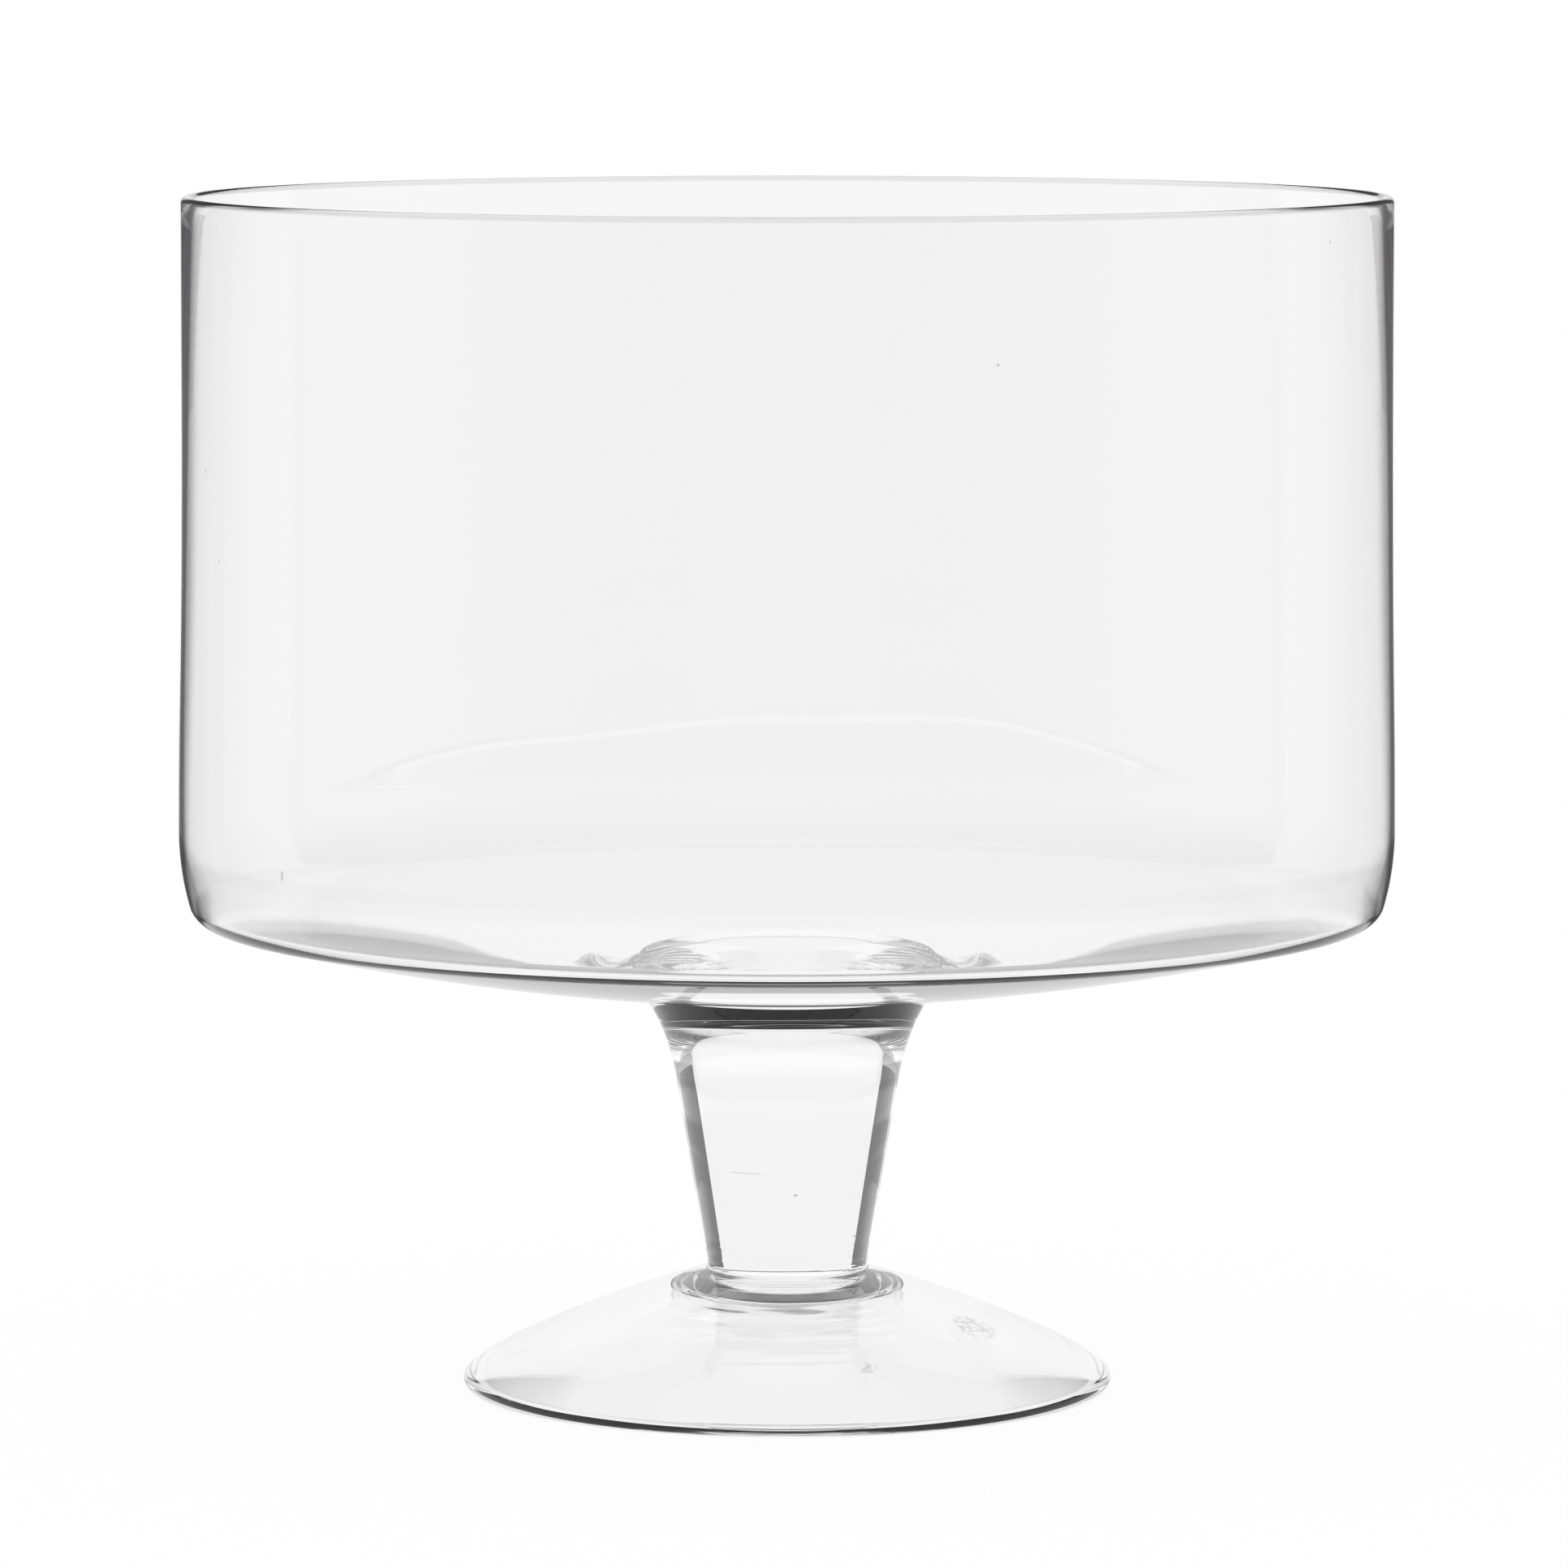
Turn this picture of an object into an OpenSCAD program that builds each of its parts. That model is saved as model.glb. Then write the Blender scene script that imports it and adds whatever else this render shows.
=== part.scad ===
// Footed trifle bowl of clear hand-made glass: a straight-sided bowl, a solid tapering stem and a
// hollow domed foot, fused where they meet. Millimetres, +Z up, with the origin at the centre of
// the ring that it stands on.

/* [Heights] */
// Height from the table to the top of the rim
overall_h = 218; // [200:1:240]
// Height of the joint between the foot and the stem
foot_h = 21.6; // [21:0.1:25]
// Length of the stem between its two joints
stem_h = 51.2; // [40:0.1:60]

/* [Bowl] */
// Outer diameter at the rim
rim_d = 220; // [200:1:240]
// How far the wall swells out, on each side, just above the heel
swell = 1; // [0:0.1:3]
// Thickness of the wall at the rim
rim_t = 2.3; // [1.8:0.1:3.6]
// Thickness of the wall just above the heel
wall_t = 0.85; // [0.6:0.05:1.6]
// Radius of the heel, where the wall turns into the underside
heel_r = 4.5; // [3:0.1:6]
// Radius of the long curve that eases the heel into the wall
ease_r = 50; // [25:1:70]
// Height of the heel over the joint with the stem
heel_h = 13.4; // [12:0.1:17]
// Thickness of the glass at the heel, measured upwards
heel_t = 1.5; // [1.2:0.1:2.4]
// Thickness of the glass over the stem
centre_t = 5.6; // [4.6:0.1:8]
// Diameter of the flat middle of the inside
flat_d = 80; // [60:1:100]

/* [Stem] */
// Diameter at the joint with the bowl
top_d = 53.4; // [49:0.1:58]
// Diameter where the flare under the bowl begins
shoulder_d = 40.5; // [36:0.1:44]
// Length of that flare
flare_h = 17.2; // [12:0.1:20]
// Narrowest diameter, just above the foot
neck_d = 29.3; // [26:0.1:33]
// Radius of the small curve from the neck into the foot
neck_r = 0.4; // [0.2:0.1:1]
// Rounding of the two edges that meet in the crease under the bowl
crease_r = 0.25; // [0.2:0.05:0.8]

/* [Foot] */
// Outer diameter of the foot
foot_d = 119; // [112:0.1:130]
// Thickness of the shell half way down its slope
shell_t = 3.8; // [3:0.1:4.4]
// Depth of glass between the joint and the roof of the hollow
roof_t = 6; // [5:0.1:7.2]
// Diameter of the roof of the hollow
roof_d = 40; // [37:0.1:43]
// Diameter of the shallow boss under the stem, where the gathers were joined
boss_d = 28; // [24:0.1:33]
// How far that boss stands out from the roof
boss_h = 2.4; // [1:0.1:3.2]
// Radius of the rounded lip
lip_r = 1.7; // [1.5:0.1:2.2]
// Width of the flat ring that rests on the table
rest_w = 1.6; // [1:0.1:2.5]

/* [Hidden] */
// Facets round the axis, and steps along one curve
$fn = 144;
steps = 8;
// Slope of the underside beside the stem and at the heel, and of the heel's upper end
under_in_a = 4;
under_out_a = 13.2;
heel_a = 74.5;
// Slope of the inside where its flat middle ends
floor_a = 9;
// Lean of the stem's surface from upright where the flare meets the bowl
flare_a = 36.5;
// Slope of the foot beside the stem, half way down and at the lip
top_a = 16.2;
foot_a = 23.3;
lip_a = 39;
// Where the foot's slope begins to steepen faster, as a share of the way from the stem to the lip
bend_share = 0.61;
// Fillet between the pad over the stem and the underside
pad_fillet_r = 0.5;
// Rounding of the inner edge of the resting ring
rest_edge_r = 0.7;

rim_r = rim_d / 2;
body_r = rim_r + swell;
pad_r = top_d / 2;
bowl_z = foot_h + stem_h;
bowl_h = overall_h - bowl_z;
shoulder_r = shoulder_d / 2;
shoulder_h = stem_h - flare_h;
neck_half = neck_d / 2;
foot_r = foot_d / 2;
lip_x = foot_r - lip_r;
rest_x = lip_x - rest_w;

// A point at a distance and an angle
function polar(r, a) = r * [cos(a), sin(a)];

// Points of an arc round c, without the first one, so that arcs chain without doubled points
function arc(c, r, a, b) = [for (i = [1:steps]) c + polar(r, a + (b - a) * i / steps)];

// Points of a smooth curve that leaves p at heading a and reaches q at heading b
function curve(p, a, q, b) =
    let (reach = norm(q - p) / 3, p2 = p + polar(reach, a), q2 = q - polar(reach, b))
    [for (i = [1:steps]) let (t = i / steps, s = 1 - t)
        s * s * s * p + 3 * s * s * t * p2 + 3 * s * t * t * q2 + t * t * t * q];

// Outer radius of the wall at a share u of its height, swelling towards the heel
function wall_r(u) = rim_r + swell * pow(1 - u, 4) * (1 + 4 * u);

// Thickness of the wall at a share u of its height, thickest at the fire-polished rim
function wall_thickness(u) = wall_t + (rim_t - wall_t) * pow(u, 3);

// The bowl's section, with its height from the joint with the stem
module bowl_section() {
    pad_mid = [pad_r - crease_r, crease_r];
    fillet_mid = [pad_r + pad_fillet_r, crease_r];
    under_start = fillet_mid + polar(pad_fillet_r, 90 + under_in_a);
    ease_in = ease_r * (1 - sin(heel_a));
    heel_in = heel_r * (sin(heel_a) - sin(under_out_a));
    under_end = [body_r - ease_in - heel_in, heel_h];
    heel_mid = under_end + polar(heel_r, 90 + under_out_a);
    heel_end = heel_mid + polar(heel_r, heel_a - 90);
    ease_mid = heel_end + polar(ease_r, 90 + heel_a);
    wall_low = ease_mid[1];
    rim_mid = [rim_r - rim_t / 2, bowl_h - rim_t / 2];
    wall_span = rim_mid[1] - wall_low;
    shares = [for (i = [1:steps]) i / steps];
    inner_low = [body_r - wall_t, wall_low];
    inner_heel = heel_end + polar((wall_t + heel_t) / 2, 90 + heel_a);
    floor_out = under_end + [0, heel_t];
    floor_in = [flat_d / 2, centre_t];
    polygon(concat(
        [[0, 0], [pad_mid[0], 0]],
        arc(pad_mid, crease_r, -90, 0),
        arc(fillet_mid, pad_fillet_r, 180, 90 + under_in_a),
        curve(under_start, under_in_a, under_end, under_out_a),
        arc(heel_mid, heel_r, under_out_a - 90, heel_a - 90),
        arc(ease_mid, ease_r, heel_a - 90, 0),
        [for (u = shares) [wall_r(u), wall_low + u * wall_span]],
        arc(rim_mid, rim_t / 2, 0, 180),
        [for (u = shares) let (v = 1 - u) [wall_r(v) - wall_thickness(v), wall_low + v * wall_span]],
        curve(inner_low, -90, inner_heel, heel_a - 180),
        curve(inner_heel, heel_a - 180, floor_out, under_out_a - 180),
        curve(floor_out, under_out_a - 180, floor_in, floor_a - 180),
        [[0, centre_t]]
    ));
}

// The stem's section, with its height from the joint with the foot
module stem_section() {
    cone_a = atan2(shoulder_h - neck_r, shoulder_r - neck_half);
    joint_r = stem_joint_r();
    neck_mid = [joint_r, 0] + polar(neck_r, 90 - top_a);
    neck_end = neck_mid + polar(neck_r, 90 + cone_a);
    shoulder = [shoulder_r, shoulder_h];
    edge_mid = [pad_r - crease_r, stem_h - crease_r];
    edge_start = edge_mid + polar(crease_r, -flare_a);
    polygon(concat(
        [[0, 0], [joint_r, 0]],
        arc(neck_mid, neck_r, 270 - top_a, 90 + cone_a),
        [for (i = [1:steps]) neck_end + (shoulder - neck_end) * i / steps],
        curve(shoulder, cone_a, edge_start, 90 - flare_a),
        arc(edge_mid, crease_r, -flare_a, 90),
        [[0, stem_h]]
    ));
}

// Radius of the joint between stem and foot: the neck, widened by its curve
function stem_joint_r() = neck_half + neck_r * (1 - sin(top_a));

// The foot's section, with its height from the table
module foot_section() {
    joint = [stem_joint_r(), foot_h];
    lip_mid = [lip_x, lip_r];
    lip_top = lip_mid + polar(lip_r, 90 - lip_a);
    bend_x = joint[0] + (lip_top[0] - joint[0]) * bend_share;
    bend = [bend_x, foot_h - (bend_x - joint[0]) * tan((top_a + foot_a) / 2)];
    inner_bend = bend - polar(shell_t, 90 - foot_a);
    roof_z = foot_h - roof_t;
    roof_edge = [roof_d / 2, roof_z];
    boss_r = boss_d / 2;
    boss_ball = (boss_r * boss_r + boss_h * boss_h) / (2 * boss_h);
    boss_mid = [0, roof_z - boss_h + boss_ball];
    edge_mid = [rest_x, rest_edge_r];
    edge_top = edge_mid + polar(rest_edge_r, -90 - lip_a);
    polygon(concat(
        [[0, foot_h], joint],
        curve(joint, -top_a, bend, -foot_a),
        curve(bend, -foot_a, lip_top, -lip_a),
        arc(lip_mid, lip_r, 90 - lip_a, -90),
        [[rest_x, 0]],
        arc(edge_mid, rest_edge_r, -90, -90 - lip_a),
        curve(edge_top, 180 - lip_a, inner_bend, 180 - foot_a),
        curve(inner_bend, 180 - foot_a, roof_edge, 180 - top_a),
        [[boss_r, roof_z]],
        arc(boss_mid, boss_ball, asin(boss_r / boss_ball) - 90, -90)
    ));
}

module bowl() {
    color("azure", 0.35) translate([0, 0, bowl_z]) rotate_extrude() bowl_section();
}

module stem() {
    color("azure", 0.5) translate([0, 0, foot_h]) rotate_extrude() stem_section();
}

module foot() {
    color("azure", 0.4) rotate_extrude() foot_section();
}

bowl();
stem();
foot();
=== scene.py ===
import math

import bmesh
import bpy
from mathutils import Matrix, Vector


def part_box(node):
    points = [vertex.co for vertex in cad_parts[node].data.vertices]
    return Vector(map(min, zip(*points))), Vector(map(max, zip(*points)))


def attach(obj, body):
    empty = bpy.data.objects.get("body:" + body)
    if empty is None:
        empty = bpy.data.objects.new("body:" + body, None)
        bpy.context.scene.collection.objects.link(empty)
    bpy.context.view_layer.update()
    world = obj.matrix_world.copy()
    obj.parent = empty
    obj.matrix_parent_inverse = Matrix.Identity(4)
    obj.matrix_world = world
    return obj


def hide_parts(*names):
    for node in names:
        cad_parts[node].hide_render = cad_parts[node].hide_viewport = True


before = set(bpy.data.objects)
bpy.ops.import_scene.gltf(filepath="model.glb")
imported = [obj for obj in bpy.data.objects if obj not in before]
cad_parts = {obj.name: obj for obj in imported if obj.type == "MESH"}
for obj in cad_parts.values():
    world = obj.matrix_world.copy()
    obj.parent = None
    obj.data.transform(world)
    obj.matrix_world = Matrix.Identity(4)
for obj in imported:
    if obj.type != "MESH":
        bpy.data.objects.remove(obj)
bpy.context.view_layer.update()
print("frame loaded:", ", ".join(sorted(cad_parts)))

scene = bpy.context.scene
mm = 0.001
fullTurn = 2 * math.pi
white = (1, 1, 1, 1)
black = (0, 0, 0, 1)


# Node maths. A Wire is one output socket, so that sums of sockets read as plain sums.
def addNode(tree, kind, settings=None, values=None, output=0):
    node = tree.nodes.new(kind)
    for name, value in (settings or {}).items():
        setattr(node, name, value)
    for name, value in (values or {}).items():
        socket = node.inputs[name]
        if isinstance(value, Wire):
            tree.links.new(value.socket, socket)
        else:
            socket.default_value = value
    return Wire(node.outputs[output]) if node.outputs else node


class Wire:
    def __init__(self, socket):
        self.socket = socket

    def maths(self, operation, *values):
        inputs = dict(enumerate((self, *values)))
        return addNode(self.socket.id_data, "ShaderNodeMath", {"operation": operation}, inputs)

    def other(self, output):
        return Wire(self.socket.node.outputs[output])

    def __add__(self, value):
        return self.maths("ADD", value)

    def __mul__(self, value):
        return self.maths("MULTIPLY", value)

    def __sub__(self, value):
        return self.maths("SUBTRACT", value)

    def __truediv__(self, value):
        return self.maths("DIVIDE", value)

    def __rsub__(self, value):
        return (self * -1) + value

    __radd__ = __add__
    __rmul__ = __mul__

    # 0 at the value low, 1 at high, with a soft start and end
    def ramp(self, low, high):
        settings = {"interpolation_type": "SMOOTHSTEP"}
        values = {"Value": self, "From Min": low, "From Max": high}
        return addNode(self.socket.id_data, "ShaderNodeMapRange", settings, values)


def emptyTree(owner):
    owner.use_nodes = True
    owner.node_tree.nodes.clear()
    return owner.node_tree


def splitVector(tree, vector):
    x = addNode(tree, "ShaderNodeSeparateXYZ", None, {"Vector": vector})
    return x, x.other("Y"), x.other("Z")


# Where the Mix node's colour form has its share, its two colours and its result
mixShare, mixLow, mixHigh, mixResult = 0, 6, 7, 2


def mixColours(tree, share, low, high):
    values = {mixShare: share, mixLow: low, mixHigh: high}
    return addNode(tree, "ShaderNodeMix", {"data_type": "RGBA"}, values, mixResult)


def grey(level):
    return (level, level, level, 1)


# Points of the turned sections, as (distance from the axis, height) in millimetres
def polar(length, angle):
    return Vector((math.cos(math.radians(angle)), math.sin(math.radians(angle)))) * length


def arc(centre, radius, start, end, degreesPerStep, fewestSteps=6):
    steps = max(fewestSteps, math.ceil(abs(end - start) / degreesPerStep))
    return [centre + polar(radius, start + (end - start) * i / steps) for i in range(1, steps + 1)]


def curve(start, startHeading, end, endHeading, steps):
    reach = (end - start).length / 3
    near = start + polar(reach, startHeading)
    far = end - polar(reach, endHeading)
    points = []
    for i in range(1, steps + 1):
        t = i / steps
        s = 1 - t
        points.append(s**3 * start + 3 * s * s * t * near + 3 * s * t * t * far + t**3 * end)
    return points


def line(start, end, steps):
    return [start + (end - start) * i / steps for i in range(1, steps + 1)]


turningValues = {
    "turns": 240,
    "wave": 0.0002,
    "waveScale": 14.0,
    "waveSeed": 1.0,
    "waveContrast": (0.25, 0.75),
    "jointFade": 0.006,  # how near a joint the waves die away
    "axisFade": 0.01,  # and how near the axis
    "noJoint": -1.0,  # a height that no piece reaches
    "mergeDistance": 1e-7,
    "heightTolerance": 1e-6,
    "levelShare": 0.999,
}


# One tree turns any section round +Z into closed glass. Hand-made unevenness draws the surface in
# by up to "Wave", so that nothing leaves the frame's box, and fades out at the joints.
def makeTurningTree(v):
    tree = bpy.data.node_groups.new("turnedGlass", "GeometryNodeTree")
    face = tree.interface
    face.new_socket("Section", in_out="INPUT", socket_type="NodeSocketGeometry")
    for name, kind, value in (
        ("Turns", "NodeSocketInt", v["turns"]),
        ("Wave", "NodeSocketFloat", v["wave"]),
        ("Wave scale", "NodeSocketFloat", v["waveScale"]),
        ("Wave seed", "NodeSocketFloat", v["waveSeed"]),
        ("Low joint", "NodeSocketFloat", v["noJoint"]),
        ("High joint", "NodeSocketFloat", v["noJoint"]),
        ("Glass", "NodeSocketMaterial", None),
        ("Weld", "NodeSocketMaterial", None),
    ):
        socket = face.new_socket(name, in_out="INPUT", socket_type=kind)
        if value is not None:
            socket.default_value = value
    face.new_socket("Piece", in_out="OUTPUT", socket_type="NodeSocketGeometry")
    given = addNode(tree, "NodeGroupInput")
    section, turns = given.other("Section"), given.other("Turns")
    lowJoint, highJoint = given.other("Low joint"), given.other("High joint")

    # a row of the grid for each point of the section, and a column for each turn
    rows = addNode(tree, "GeometryNodeAttributeDomainSize", {"component": "MESH"}, {"Geometry": section})
    columns = turns + 1
    grid = addNode(tree, "GeometryNodeMeshGrid", None, {"Vertices X": rows, "Vertices Y": columns})
    index = addNode(tree, "GeometryNodeInputIndex")
    row = (index / columns).maths("FLOOR")
    column = index - row * columns
    place = addNode(tree, "GeometryNodeInputPosition")
    point = addNode(tree, "GeometryNodeSampleIndex", {"data_type": "FLOAT_VECTOR"}, {
        "Geometry": section, "Value": place, "Index": row})
    radius, _, height = splitVector(tree, point)
    angle = column / turns * fullTurn
    across, deep = angle.maths("COSINE"), angle.maths("SINE")

    # the waves follow the direction round the axis and the height, so the two joined faces agree
    away = addNode(tree, "ShaderNodeCombineXYZ", None, {
        "X": across * radius, "Y": deep * radius, "Z": height})
    noise = addNode(tree, "ShaderNodeTexNoise", {"noise_dimensions": "4D"}, {
        "Vector": away, "W": given.other("Wave seed"), "Scale": given.other("Wave scale"),
        "Detail": 1.0, "Roughness": 0.4})
    fromLow = (height - lowJoint).maths("ABSOLUTE").ramp(0.0, v["jointFade"])
    fromHigh = (height - highJoint).maths("ABSOLUTE").ramp(0.0, v["jointFade"])
    drawnIn = noise.ramp(*v["waveContrast"]) * given.other("Wave") * fromLow * fromHigh
    kept = (radius - drawnIn * radius.ramp(0.0, v["axisFade"])).maths("MAXIMUM", 0.0)
    turned = addNode(tree, "ShaderNodeCombineXYZ", None, {"X": across * kept, "Y": deep * kept, "Z": height})
    shape = addNode(tree, "GeometryNodeSetPosition", None, {"Geometry": grid, "Position": turned})
    shape = addNode(tree, "GeometryNodeMergeByDistance", None, {
        "Geometry": shape, "Distance": v["mergeDistance"]})

    # a joint's face is level and at the joint's height
    level = splitVector(tree, addNode(tree, "GeometryNodeInputNormal"))[2].maths("ABSOLUTE")
    faceHeight = splitVector(tree, place)[2]
    atLow = (faceHeight - lowJoint).maths("ABSOLUTE").maths("LESS_THAN", v["heightTolerance"])
    atHigh = (faceHeight - highJoint).maths("ABSOLUTE").maths("LESS_THAN", v["heightTolerance"])
    joint = atLow.maths("MAXIMUM", atHigh) * level.maths("GREATER_THAN", v["levelShare"])
    shape = addNode(tree, "GeometryNodeSetShadeSmooth", {"domain": "FACE"}, {
        "Geometry": shape, "Shade Smooth": 1 - joint})
    shape = addNode(tree, "GeometryNodeRealizeInstances", None, {"Geometry": shape})
    shape = addNode(tree, "GeometryNodeSetMaterial", None, {
        "Geometry": shape, "Material": given.other("Glass")})
    shape = addNode(tree, "GeometryNodeSetMaterial", None, {
        "Geometry": shape, "Selection": joint, "Material": given.other("Weld")})
    addNode(tree, "NodeGroupOutput", None, {"Piece": shape})
    return tree


def turnPiece(name, section, tree, inputs):
    points = [(r * mm, 0, z * mm) for r, z in section]
    edges = [(i, i + 1) for i in range(len(section) - 1)]
    mesh = bpy.data.meshes.new(name)
    mesh.from_pydata(points, edges, [])
    mesh.materials.append(inputs["Glass"])
    piece = bpy.data.objects.new(name, mesh)
    scene.collection.objects.link(piece)
    modifier = piece.modifiers.new("turned", "NODES")
    modifier.node_group = tree
    for item in tree.interface.items_tree:
        if item.name in inputs:
            modifier[item.identifier] = inputs[item.name]
    evaluated = piece.evaluated_get(bpy.context.evaluated_depsgraph_get())
    baked = bpy.data.meshes.new_from_object(evaluated)
    baked.name = name
    piece.modifiers.clear()
    piece.data = baked
    return piece


def faceOutwards(name, piece):
    mesh = bmesh.new()
    mesh.from_mesh(piece.data)
    bmesh.ops.recalc_face_normals(mesh, faces=mesh.faces)
    if mesh.calc_volume(signed=True) < 0:
        bmesh.ops.reverse_faces(mesh, faces=mesh.faces)
    openEdges = sum(1 for e in mesh.edges if not e.is_manifold)
    print(name, "faces", len(mesh.faces), "cm3", round(mesh.calc_volume() * 1e6, 1), "open edges", openEdges)
    mesh.to_mesh(piece.data)
    mesh.free()


# Lengths and heights are in metres, but for the spots and smudges, which are in millimetres
glassValues = {
    "tint": white,
    "ior": 1.5,
    "waveStretch": (1, 1, 3),
    "waveScale": 12.0,
    "waveHeight": 0.000006,
    "seedStretch": (1, 1, 0.4),
    "seedSpacing": 0.03,
    "seedSize": 0.0005,
    "seedCoreShare": 0.4,
    "seedShare": 0.35,
    "seedHeight": 0.00006,
    "ringBreaks": 3.0,
    "ringWidth": 0.004,
    "ringContrast": (0.3, 0.7),
    "ringPatches": 30.0,
    "patchContrast": (0.38, 0.55),
    "ringsAlong": "radius",
    "ringsFrom": 0.02,
    "ringsTo": 0.04,
    "ringsFade": 0.004,
    "ringsFacing": -1.5,  # from 1, only right at the front, to -1, all the way round
    "facingFade": 0.15,
    "ringHeight": 0.0,
    "lineRadius": 1.0,
    "lineWidth": 0.0008,
    "lineWander": 3,
    "lineFacing": (0.6, 0.85),
    "lineHeight": 0.0,
    "markScale": 60.0,
    "markContrast": (0.62, 0.75),
    "markRoughness": 0.0,
    "rimFrom": 1.0,
    "rimFade": 0.0005,
    "rimPaintedShade": 0.0,
    "spots": [],
    "smudges": [],
    "smudgeGrain": 900.0,
    "smudgeContrast": (0.4, 0.6),
}


# How much a spot on the surface covers each point, from 0 to 1. A spot is given as degrees round
# the axis, distance from it, height, width round, extent upwards and darkness.
def spotCover(tree, place, spot, coreShare=0.5):
    around, away, height, wide, tall, darkness = spot
    centre = polar(away * mm, around)
    offset = addNode(tree, "ShaderNodeVectorMath", {"operation": "SUBTRACT"}, {
        0: place, 1: (centre.x, centre.y, height * mm)})
    offset = addNode(tree, "ShaderNodeVectorMath", {"operation": "MULTIPLY"}, {
        0: offset, 1: (2 / (wide * mm), 2 / (wide * mm), 2 / (tall * mm))})
    distance = addNode(tree, "ShaderNodeVectorMath", {"operation": "LENGTH"}, {0: offset}, "Value")
    return distance.ramp(1.0, coreShare) * darkness


# Hand-made glass: clear, with faint waves, a few seeds, and rings where it was turned and tooled
def makeGlass(name, values):
    v = {**glassValues, **values}
    material = bpy.data.materials.new(name)
    tree = emptyTree(material)
    place = addNode(tree, "ShaderNodeTexCoord", output="Object")
    x, y, z = splitVector(tree, place)
    radius = (x * x + y * y).maths("SQRT")
    front = y / radius * -1

    stretched = addNode(tree, "ShaderNodeMapping", None, {"Vector": place, "Scale": v["waveStretch"]})
    wave = addNode(tree, "ShaderNodeTexNoise", None, {
        "Vector": stretched, "Scale": v["waveScale"], "Detail": 1.0, "Roughness": 0.45})
    height = wave * v["waveHeight"]

    # seeds are small bubbles caught under the skin, drawn out along the axis in the wall
    cells = addNode(tree, "ShaderNodeMapping", None, {"Vector": place, "Scale": v["seedStretch"]})
    nearest = addNode(tree, "ShaderNodeTexVoronoi", None, {"Vector": cells, "Scale": 1 / v["seedSpacing"]})
    pick = addNode(tree, "ShaderNodeSeparateColor", None, {"Color": nearest.other("Color")})
    size = v["seedSize"] / v["seedSpacing"]
    seed = nearest.ramp(size, size * v["seedCoreShare"]) * pick.maths("LESS_THAN", v["seedShare"])
    height = height + seed * v["seedHeight"]

    # rings left by the tools follow the turn of the piece, and break up along it
    turned = addNode(tree, "ShaderNodeCombineXYZ", None, {
        "X": x / radius * v["ringBreaks"], "Y": y / radius * v["ringBreaks"],
        "Z": (radius + z) / v["ringWidth"]})
    ring = addNode(tree, "ShaderNodeTexNoise", None, {"Vector": turned, "Scale": 1.0, "Detail": 1.0})
    patch = addNode(tree, "ShaderNodeTexNoise", None, {
        "Vector": place, "Scale": v["ringPatches"], "Detail": 0.0})
    across = radius if v["ringsAlong"] == "radius" else z
    start, end, fade = v["ringsFrom"], v["ringsTo"], v["ringsFade"]
    band = across.ramp(start, start + fade) * across.ramp(end, end - fade)
    facing = front.ramp(v["ringsFacing"], v["ringsFacing"] + v["facingFade"])
    rings = ring.ramp(*v["ringContrast"]) * patch.ramp(*v["patchContrast"])
    height = height + rings * facing * band * v["ringHeight"]

    # one tool line, a low step that wanders a little round the foot
    wander = (wave - 0.5) * v["lineWidth"] * v["lineWander"]
    step = (radius + wander - v["lineRadius"]).ramp(0, v["lineWidth"])
    height = height + step * v["lineHeight"] * front.ramp(*v["lineFacing"])

    # finger marks, a little less clear than the glass round them
    roughness = 0.0
    if v["markRoughness"]:
        mark = addNode(tree, "ShaderNodeTexNoise", None, {
            "Vector": place, "Scale": v["markScale"], "Detail": 2.0})
        roughness = mark.ramp(*v["markContrast"]) * v["markRoughness"]

    # the marks of the photographed piece: seeds, a scratch and finger smudges; the greyer rim is painted
    # shade, a dark band drawn into the colour at the top of the rim for the dark line a clear rim shows
    dark = z.ramp(v["rimFrom"], v["rimFrom"] + v["rimFade"]) * v["rimPaintedShade"]
    for spot in v["spots"]:
        dark = dark.maths("MAXIMUM", spotCover(tree, place, spot))
    if v["smudges"]:
        speckle = addNode(tree, "ShaderNodeTexNoise", None, {
            "Vector": place, "Scale": v["smudgeGrain"], "Detail": 1.0})
        speckle = speckle.ramp(*v["smudgeContrast"])
        for spot in v["smudges"]:
            dark = dark.maths("MAXIMUM", spotCover(tree, place, spot) * speckle)
    colour = mixColours(tree, dark, v["tint"], black)
    bump = addNode(tree, "ShaderNodeBump", None, {"Height": height, "Strength": 1.0, "Distance": 1.0})
    shader = addNode(tree, "ShaderNodeBsdfPrincipled", None, {
        "Base Color": colour, "Roughness": roughness, "IOR": v["ior"],
        "Transmission Weight": 1.0, "Normal": bump})
    addNode(tree, "ShaderNodeOutputMaterial", None, {"Surface": shader})
    return material


# Where two pieces are fused there is no surface, so their joined faces are fully clear
def makeWeld():
    material = bpy.data.materials.new("fusedJoint")
    tree = emptyTree(material)
    shader = addNode(tree, "ShaderNodeBsdfPrincipled", None, {"Base Color": white, "Alpha": 0.0})
    addNode(tree, "ShaderNodeOutputMaterial", None, {"Surface": shader})
    return material


# painted shade: a greyer band this deep along the top of the bowl's rim, darkened into the glass colour
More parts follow.
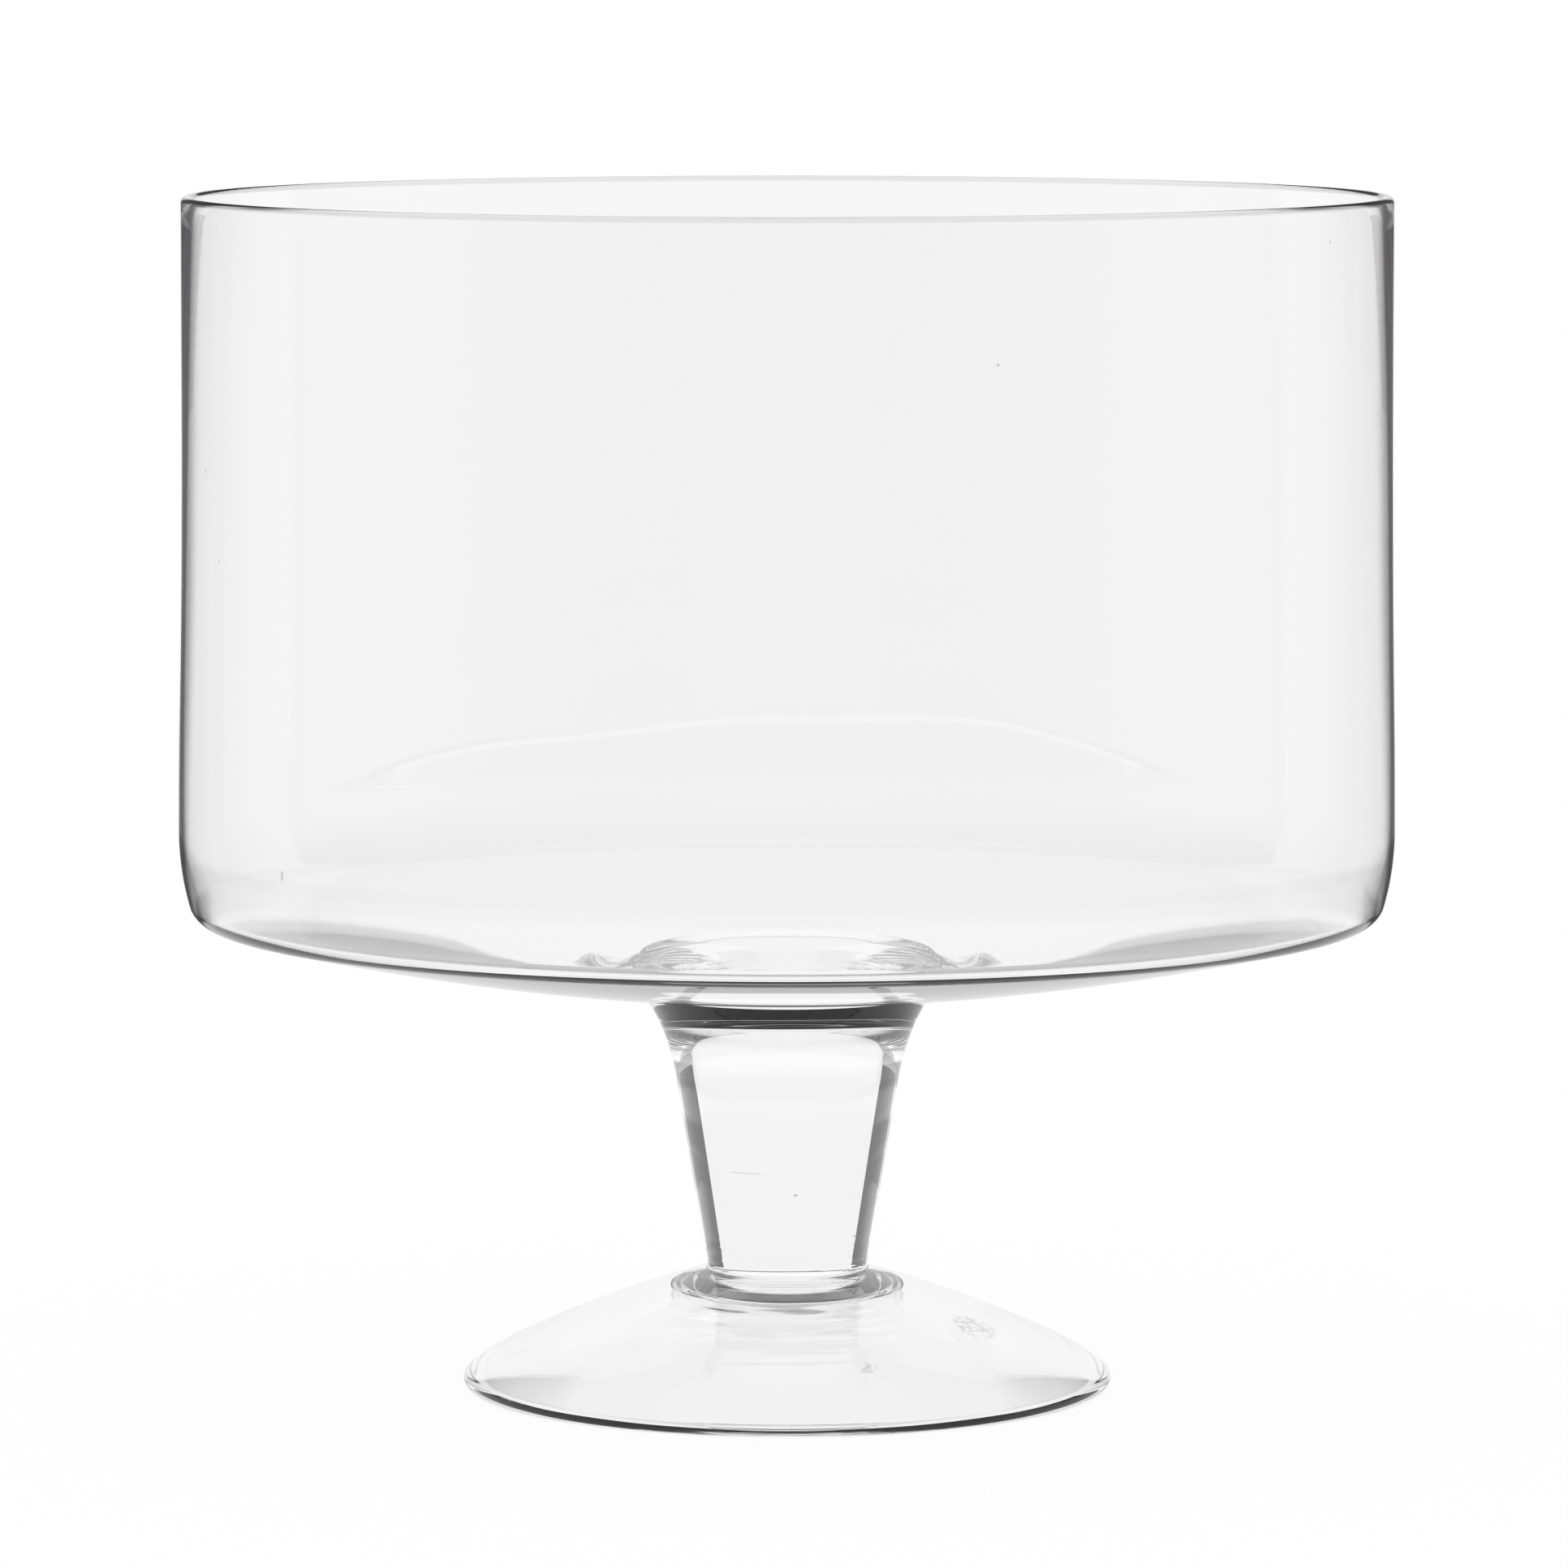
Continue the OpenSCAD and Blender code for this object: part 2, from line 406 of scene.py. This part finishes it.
paintedRimShadeDepth = 0.0012
bowlGlass = makeGlass("bowlGlass", {
    "ringHeight": 0.000004,
    "ringsFrom": 0.03,
    "ringsTo": 0.107,
    "ringWidth": 0.009,
    "rimFrom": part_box("bowl")[1].z - paintedRimShadeDepth,
    "rimPaintedShade": 0.27,
    "spots": [
        (-164, 110, 175.7, 1.2, 1.6, 0.5),
        (-160, 110, 170.3, 1.0, 1.2, 0.5),
        (-156, 110, 154.8, 0.9, 0.9, 0.5),
        (-71, 110, 192.7, 0.8, 0.8, 0.5),
        (-30, 110, 211.7, 0.9, 0.9, 0.5),
        (-143, 111, 101.1, 1.0, 2.6, 0.6),
    ],
})
stemGlass = makeGlass("stemGlass", {
    "seedStretch": (1, 1, 1),
    "seedSpacing": 0.011,
    "seedSize": 0.0002,
    "seedHeight": 0.00003,
    "ringsAlong": "height",
    "ringsFrom": 0.021,
    "ringsTo": 0.029,
    "ringsFade": 0.002,
    "ringHeight": 0.00002,
    "ringWidth": 0.0015,
    "spots": [
        (-85, 17.2, 37.3, 1.0, 0.6, 0.7),
        (-39, 15.7, 28.7, 0.8, 0.7, 0.6),
        (-115, 17.9, 41.2, 9, 0.25, 0.5),
    ],
})
footGlass = makeGlass("footGlass", {
    "seedStretch": (1, 1, 1),
    "seedSpacing": 0.018,
    "seedSize": 0.00025,
    "seedHeight": 0.00003,
    "ringsFrom": 0.020,
    "ringsTo": 0.040,
    "ringsFade": 0.004,
    "ringsFacing": 0.72,
    "ringPatches": 60.0,
    "ringBreaks": 1.5,
    "ringHeight": 0.00004,
    "ringWidth": 0.0022,
    "markRoughness": 0.12,
    "markScale": 90.0,
    "lineRadius": 0.0402,
    "lineWidth": 0.0013,
    "lineHeight": 0.00003,
    "smudges": [
        (-72, 46, 10.1, 5, 4, 0.35),
        (-28, 38.4, 13.3, 12, 8, 0.5),
    ],
})
weld = makeWeld()
turningTree = makeTurningTree(turningValues)
print("glass made")

# The sections repeat the part's own outlines, with more points. Lengths are in millimetres and
# slopes in degrees, and the overall sizes come from the frame.
bowlLow, bowlHigh = [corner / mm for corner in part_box("bowl")]
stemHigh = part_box("stem")[1] / mm
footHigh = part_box("foot")[1] / mm
footTop = footHigh.z

bowlValues = {
    "swell": 1.0,
    "rimThickness": 2.3,
    "wallThickness": 0.85,
    "heelRadius": 4.5,
    "easeRadius": 50.0,
    "heelHeight": 13.4,
    "heelThickness": 1.5,
    "centreThickness": 5.6,
    "flatDiameter": 80.0,
    "padDiameter": 53.4,
    "creaseRadius": 0.25,
    "padFilletRadius": 0.5,
    "undersideSlope": 4.0,
    "undersideSlopeAtHeel": 13.2,
    "heelSlope": 74.5,
    "floorSlope": 9.0,
    "wallSteps": 36,
    "turns": 288,
}


def bowlSection(v):
    low = bowlLow.z
    rim = bowlHigh.z - low
    rimRadius = bowlHigh.x - v["swell"]
    padRadius, crease, fillet = v["padDiameter"] / 2, v["creaseRadius"], v["padFilletRadius"]
    under, underEnd, heelSlope = v["undersideSlope"], v["undersideSlopeAtHeel"], v["heelSlope"]
    padMid = Vector((padRadius - crease, crease))
    filletMid = Vector((padRadius + fillet, crease))
    underStart = filletMid + polar(fillet, 90 + under)
    easeIn = v["easeRadius"] * (1 - math.sin(math.radians(heelSlope)))
    heelIn = v["heelRadius"] * (math.sin(math.radians(heelSlope)) - math.sin(math.radians(underEnd)))
    heelStart = Vector((bowlHigh.x - easeIn - heelIn, v["heelHeight"]))
    heelMid = heelStart + polar(v["heelRadius"], 90 + underEnd)
    heelEnd = heelMid + polar(v["heelRadius"], heelSlope - 90)
    easeMid = heelEnd + polar(v["easeRadius"], 90 + heelSlope)
    wallLow = easeMid.y
    halfRim = v["rimThickness"] / 2
    rimMid = Vector((rimRadius - halfRim, rim - halfRim))
    wallSpan = rimMid.y - wallLow

    # u is the share of the wall's height
    def outerWall(u):
        return rimRadius + v["swell"] * (1 - u) ** 4 * (1 + 4 * u)

    def thickness(u):
        return v["wallThickness"] + (v["rimThickness"] - v["wallThickness"]) * u**3

    shares = [i / v["wallSteps"] for i in range(1, v["wallSteps"] + 1)]
    innerLow = Vector((bowlHigh.x - v["wallThickness"], wallLow))
    innerHeel = heelEnd + polar((v["wallThickness"] + v["heelThickness"]) / 2, 90 + heelSlope)
    floorOut = heelStart + Vector((0, v["heelThickness"]))
    floorIn = Vector((v["flatDiameter"] / 2, v["centreThickness"]))
    points = [Vector((0, 0)), Vector((padMid.x / 2, 0)), Vector((padMid.x, 0))]
    points += arc(padMid, crease, -90, 0, degreesPerStep=12)
    points += arc(filletMid, fillet, 180, 90 + under, degreesPerStep=12)
    points += curve(underStart, under, heelStart, underEnd, steps=30)
    points += arc(heelMid, v["heelRadius"], underEnd - 90, heelSlope - 90, degreesPerStep=4)
    points += arc(easeMid, v["easeRadius"], heelSlope - 90, 0, degreesPerStep=1.5)
    points += [Vector((outerWall(u), wallLow + u * wallSpan)) for u in shares]
    points += arc(rimMid, halfRim, 0, 180, degreesPerStep=10)
    points += [Vector((outerWall(1 - u) - thickness(1 - u), wallLow + (1 - u) * wallSpan)) for u in shares]
    points += curve(innerLow, -90, innerHeel, heelSlope - 180, steps=12)
    points += curve(innerHeel, heelSlope - 180, floorOut, underEnd - 180, steps=16)
    points += curve(floorOut, underEnd - 180, floorIn, v["floorSlope"] - 180, steps=24)
    points += line(floorIn, Vector((0, v["centreThickness"])), steps=10)
    return [(p.x, p.y + low) for p in points]


stemValues = {
    "shoulderDiameter": 40.5,
    "flareHeight": 17.2,
    "neckDiameter": 29.3,
    "neckRadius": 0.4,
    "flareLean": 36.5,
    "turns": 240,
}


def stemSection(v, footSlope):
    low = footTop
    length = stemHigh.z - low
    crease = bowlValues["creaseRadius"]
    padRadius = bowlValues["padDiameter"] / 2
    shoulder = Vector((v["shoulderDiameter"] / 2, length - v["flareHeight"]))
    neckHalf = v["neckDiameter"] / 2
    coneSlope = math.degrees(math.atan2(shoulder.y - v["neckRadius"], shoulder.x - neckHalf))
    jointRadius = neckHalf + v["neckRadius"] * (1 - math.sin(math.radians(footSlope)))
    neckMid = Vector((jointRadius, 0)) + polar(v["neckRadius"], 90 - footSlope)
    neckEnd = neckMid + polar(v["neckRadius"], 90 + coneSlope)
    edgeMid = Vector((padRadius - crease, length - crease))
    edgeStart = edgeMid + polar(crease, -v["flareLean"])
    points = [Vector((0, 0)), Vector((jointRadius / 2, 0)), Vector((jointRadius, 0))]
    points += arc(neckMid, v["neckRadius"], 270 - footSlope, 90 + coneSlope, degreesPerStep=5)
    points += line(neckEnd, shoulder, steps=40)
    points += curve(shoulder, coneSlope, edgeStart, 90 - v["flareLean"], steps=24)
    points += arc(edgeMid, crease, -v["flareLean"], 90, degreesPerStep=12)
    points += [Vector((edgeMid.x / 2, length)), Vector((0, length))]
    return [(p.x, p.y + low) for p in points], jointRadius


footValues = {
    "shellThickness": 3.8,
    "roofThickness": 6.0,
    "roofDiameter": 40.0,
    "bossDiameter": 28.0,
    "bossHeight": 2.4,
    "lipRadius": 1.7,
    "restWidth": 1.6,
    "topSlope": 16.2,
    "slope": 23.3,
    "lipSlope": 39.0,
    "bendShare": 0.61,
    "restEdgeRadius": 0.7,
    "turns": 288,
}


def footSection(v, jointRadius):
    joint = Vector((jointRadius, footTop))
    lipMid = Vector((footHigh.x - v["lipRadius"], v["lipRadius"]))
    lipTop = lipMid + polar(v["lipRadius"], 90 - v["lipSlope"])
    drop = math.tan(math.radians((v["topSlope"] + v["slope"]) / 2))
    bendX = joint.x + (lipTop.x - joint.x) * v["bendShare"]
    bend = Vector((bendX, footTop - (bendX - joint.x) * drop))
    innerBend = bend - polar(v["shellThickness"], 90 - v["slope"])
    roof = footTop - v["roofThickness"]
    corner = Vector((v["roofDiameter"] / 2, roof))
    bossRadius = v["bossDiameter"] / 2
    bossBall = (bossRadius**2 + v["bossHeight"] ** 2) / (2 * v["bossHeight"])
    bossMid = Vector((0, roof - v["bossHeight"] + bossBall))
    bossHalfTurn = math.degrees(math.asin(bossRadius / bossBall))
    restIn = lipMid.x - v["restWidth"]
    edgeMid = Vector((restIn, v["restEdgeRadius"]))
    edgeTop = edgeMid + polar(v["restEdgeRadius"], -90 - v["lipSlope"])
    points = [Vector((0, footTop)), Vector((joint.x / 2, footTop)), joint]
    points += curve(joint, -v["topSlope"], bend, -v["slope"], steps=24)
    points += curve(bend, -v["slope"], lipTop, -v["lipSlope"], steps=24)
    points += arc(lipMid, v["lipRadius"], 90 - v["lipSlope"], -90, degreesPerStep=8)
    points += [Vector((restIn, 0))]
    points += arc(edgeMid, v["restEdgeRadius"], -90, -90 - v["lipSlope"], degreesPerStep=8)
    points += curve(edgeTop, 180 - v["lipSlope"], innerBend, 180 - v["slope"], steps=24)
    points += curve(innerBend, 180 - v["slope"], corner, 180 - v["topSlope"], steps=20)
    points += line(corner, Vector((bossRadius, roof)), steps=4)
    points += arc(bossMid, bossBall, bossHalfTurn - 90, -90, degreesPerStep=2)
    return [(p.x, p.y) for p in reversed(points)]


stemPoints, jointRadius = stemSection(stemValues, footValues["topSlope"])
pieces = {
    "bowl": turnPiece("glassBowl", bowlSection(bowlValues), turningTree, {
        "Glass": bowlGlass, "Weld": weld, "Turns": bowlValues["turns"], "Low joint": bowlLow.z * mm}),
    "stem": turnPiece("glassStem", stemPoints, turningTree, {
        "Glass": stemGlass, "Weld": weld, "Turns": stemValues["turns"],
        "Low joint": footTop * mm, "High joint": stemHigh.z * mm}),
    "foot": turnPiece("glassFoot", footSection(footValues, jointRadius), turningTree, {
        "Glass": footGlass, "Weld": weld, "Turns": footValues["turns"], "High joint": footTop * mm}),
}
for node, piece in pieces.items():
    faceOutwards(node, piece)
    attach(piece, "root")
    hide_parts(node)

# The studio: a white ground and a lit panel close behind the bowl. The room past the panel's edges
# is dark, and that is what draws the dark lines in clear glass. Angles are in degrees, off the
# straight line back or above the level, and a pair gives where a change starts and ends.
studioValues = {
    "panelBehind": 0.163,
    "panelHalfWidth": 0.14,
    "panelFootHalfWidth": 0.118,
    "panelFootTop": 0.09,
    "panelFootFadeShare": 0.8,
    "panelTop": 0.24,
    "panelGap": 0.0005,
    "panelLevel": 0.965,
    "panelFall": 0.03,
    "panelEdgeLevel": 0.84,
    "panelFootLevel": 0.925,
    "darkLevel": (0.135, 0.13, 0.135, 1),
    "rearAngles": (80.0, 170.0),
    "rearHeights": (25.0, 12.0),
    "rearLevel": 0.42,
    "gapAngles": (24.0, 34.0),
    "wallSideHeights": (12.0, 4.0),
    "wallSideLevel": 0.68,
    "sideFrom": (72.0, 76.0),
    "sideTo": (109.0, 103.0),
    "sideHeights": (20.0, 10.0),
    "overheadHeights": (35.0, 50.0),
    "overheadLevel": 0.8,
    "diffuseSideLevel": 0.85,
    "floorRadius": 8.0,
    "floorSides": 96,
    "tableEdge": (0.35, 0.42),
    "roomEdge": (0.468, 0.572),
    # painted shadow on the ground: a darker disc under the foot and a thin dark ring under the lip
    "underFootShare": 0.96,
    "underFootShadowLevel": 0.9,
    "contactShadowWidth": 0.003,
    "contactShadowEdgeShares": (0.6, 0.4),
    "contactShadowLevel": 0.12,
    "shadowShare": 0.06,
}


def degreesOffBack(x, y):
    return x.maths("ABSOLUTE").maths("ARCTAN2", y) * (360 / fullTurn)


# 1 for light that has been scattered in that way at least so many times
def metAtLeast(path, depth, times):
    return path.other(depth).maths("GREATER_THAN", times - 0.5)


def makeWorld(v):
    world = bpy.data.worlds.new("studio")
    scene.world = world
    tree = emptyTree(world)
    path = addNode(tree, "ShaderNodeLightPath")
    x, y, z = splitVector(tree, addNode(tree, "ShaderNodeTexCoord", output="Generated"))
    offBack = degreesOffBack(x, y)
    up = z.maths("ARCSINE") * (360 / fullTurn)
    rear = offBack.ramp(*v["rearAngles"]) * up.ramp(*v["rearHeights"])
    bright = offBack.ramp(*v["gapAngles"]) * (1 - rear) * up.ramp(*v["wallSideHeights"])
    side = offBack.ramp(*v["sideFrom"]) * offBack.ramp(*v["sideTo"]) * up.ramp(*v["sideHeights"])
    reflected = metAtLeast(path, "Glossy Depth", 1)
    once = reflected * (1 - metAtLeast(path, "Glossy Depth", 2))
    room = mixColours(tree, rear, v["darkLevel"], grey(v["rearLevel"]))
    room = mixColours(tree, reflected * bright, room, grey(v["wallSideLevel"]))
    room = mixColours(tree, side * (1 - reflected), room, white)
    room = mixColours(tree, up.ramp(*v["overheadHeights"]) * once, room, grey(v["overheadLevel"]))
    room = mixColours(tree, metAtLeast(path, "Diffuse Depth", 1), room, grey(v["diffuseSideLevel"]))
    seenInGlass = path.other("Is Glossy Ray").maths("MAXIMUM", path.other("Is Transmission Ray"))
    colour = mixColours(tree, seenInGlass, white, room)
    background = addNode(tree, "ShaderNodeBackground", None, {"Color": colour, "Strength": 1.0})
    addNode(tree, "ShaderNodeOutputWorld", None, {"Surface": background})


def addStage(name, mesh):
    item = bpy.data.objects.new(name, mesh)
    scene.collection.objects.link(item)
    return item


def makeFloor(v):
    mesh = bpy.data.meshes.new("floor")
    shape = bmesh.new()
    bmesh.ops.create_circle(shape, cap_ends=True, segments=v["floorSides"], radius=v["floorRadius"])
    shape.to_mesh(mesh)
    shape.free()
    addStage("floor", mesh)
    material = bpy.data.materials.new("whiteGround")
    mesh.materials.append(material)
    tree = emptyTree(material)
    path = addNode(tree, "ShaderNodeLightPath")
    x, y, _ = splitVector(tree, addNode(tree, "ShaderNodeTexCoord", output="Object"))
    radius = (x * x + y * y).maths("SQRT")
    offBack = degreesOffBack(x, y)
    reflected = metAtLeast(path, "Glossy Depth", 1)

    # past the table, reflections show the room's floor
    rear = offBack.ramp(*v["rearAngles"])
    bright = offBack.ramp(*v["gapAngles"]) * (1 - rear)
    room = mixColours(tree, rear, v["darkLevel"], grey(v["rearLevel"]))
    room = mixColours(tree, radius.ramp(*v["roomEdge"]) * bright, room, grey(v["wallSideLevel"]))

    # painted shadow: under the foot the ground is a little darker, and a thin dark ring where the lip stands
    # is a painted contact shadow, seen only through the glass and not in reflections
    footEdge = footHigh.x * mm
    under = radius.ramp(footEdge, footEdge * v["underFootShare"])
    table = mixColours(tree, under, white, grey(v["underFootShadowLevel"]))
    fromRing = (radius - footEdge + v["contactShadowWidth"] / 2).maths("ABSOLUTE")
    ring = fromRing.ramp(*[v["contactShadowWidth"] * share for share in v["contactShadowEdgeShares"]])
    throughGlass = 1 - path.other("Is Camera Ray").maths("MAXIMUM", reflected)
    table = mixColours(tree, ring * throughGlass, table, grey(v["contactShadowLevel"]))

    colour = mixColours(tree, reflected * radius.ramp(*v["tableEdge"]), table, room)
    glow = addNode(tree, "ShaderNodeEmission", None, {"Color": colour, "Strength": 1.0})
    lit = addNode(tree, "ShaderNodeBsdfDiffuse", None, {"Color": white})
    mixed = addNode(tree, "ShaderNodeMixShader", None, {
        0: path.other("Is Camera Ray") * v["shadowShare"], 1: glow, 2: lit})
    addNode(tree, "ShaderNodeOutputMaterial", None, {"Surface": mixed})


# The panel narrows below panelFootTop, where it is also a little less bright
def makePanel(v):
    half, footHalf = v["panelHalfWidth"], v["panelFootHalfWidth"]
    step = v["panelFootTop"]
    corners = [(footHalf, v["panelGap"]), (half, step), (half, v["panelTop"])]
    corners += [(-x, z) for x, z in reversed(corners)]
    mesh = bpy.data.meshes.new("panel")
    mesh.from_pydata([(x, v["panelBehind"], z) for x, z in corners], [], [tuple(range(len(corners)))])
    panel = addStage("panel", mesh)
    panel.visible_camera = False
    panel.visible_diffuse = False
    panel.visible_shadow = False
    material = bpy.data.materials.new("litPanel")
    mesh.materials.append(material)
    tree = emptyTree(material)
    x, _, z = splitVector(tree, addNode(tree, "ShaderNodeTexCoord", output="Object"))
    edge = z.ramp(step, 0) * (footHalf - half) + half
    inside = edge - x.maths("ABSOLUTE")
    even = mixColours(
        tree, inside.ramp(0.0, v["panelFall"]), grey(v["panelEdgeLevel"]), grey(v["panelLevel"]))
    nearFoot = z.ramp(step, step * v["panelFootFadeShare"])
    colour = mixColours(tree, nearFoot, even, grey(v["panelFootLevel"]))
    glow = addNode(tree, "ShaderNodeEmission", None, {"Color": colour, "Strength": 1.0})
    addNode(tree, "ShaderNodeOutputMaterial", None, {"Surface": glow})


makeWorld(studioValues)
makeFloor(studioValues)
makePanel(studioValues)
print("studio lit")

# The camera of the photograph: long lens, a little above the rim
cameraValues = {
    "place": (-0.0006, -1.6253, 0.2742),
    "pitchDown": 5.747,
    "focalPixels": 11024.4,
    "imagePixels": 1932,
    "sensorWidth": 36.0,
    "nearest": 0.05,
    "farthest": 60.0,
}


def makeCamera(v):
    data = bpy.data.cameras.new("photoCamera")
    data.sensor_width = v["sensorWidth"]
    data.lens = data.sensor_width * v["focalPixels"] / v["imagePixels"]
    data.clip_start = v["nearest"]
    data.clip_end = v["farthest"]
    camera = bpy.data.objects.new("photoCamera", data)
    camera.location = v["place"]
    camera.rotation_euler = (math.radians(90 - v["pitchDown"]), 0, 0)
    scene.collection.objects.link(camera)
    scene.camera = camera


makeCamera(cameraValues)
print("camera placed")

scene.view_settings.view_transform = "Standard"
# light crosses many surfaces in the foot and the stem, so it may bend and bounce often
scene.cycles.max_bounces = 20
scene.cycles.transmission_bounces = 20
scene.cycles.glossy_bounces = 12
scene.cycles.transparent_max_bounces = 24
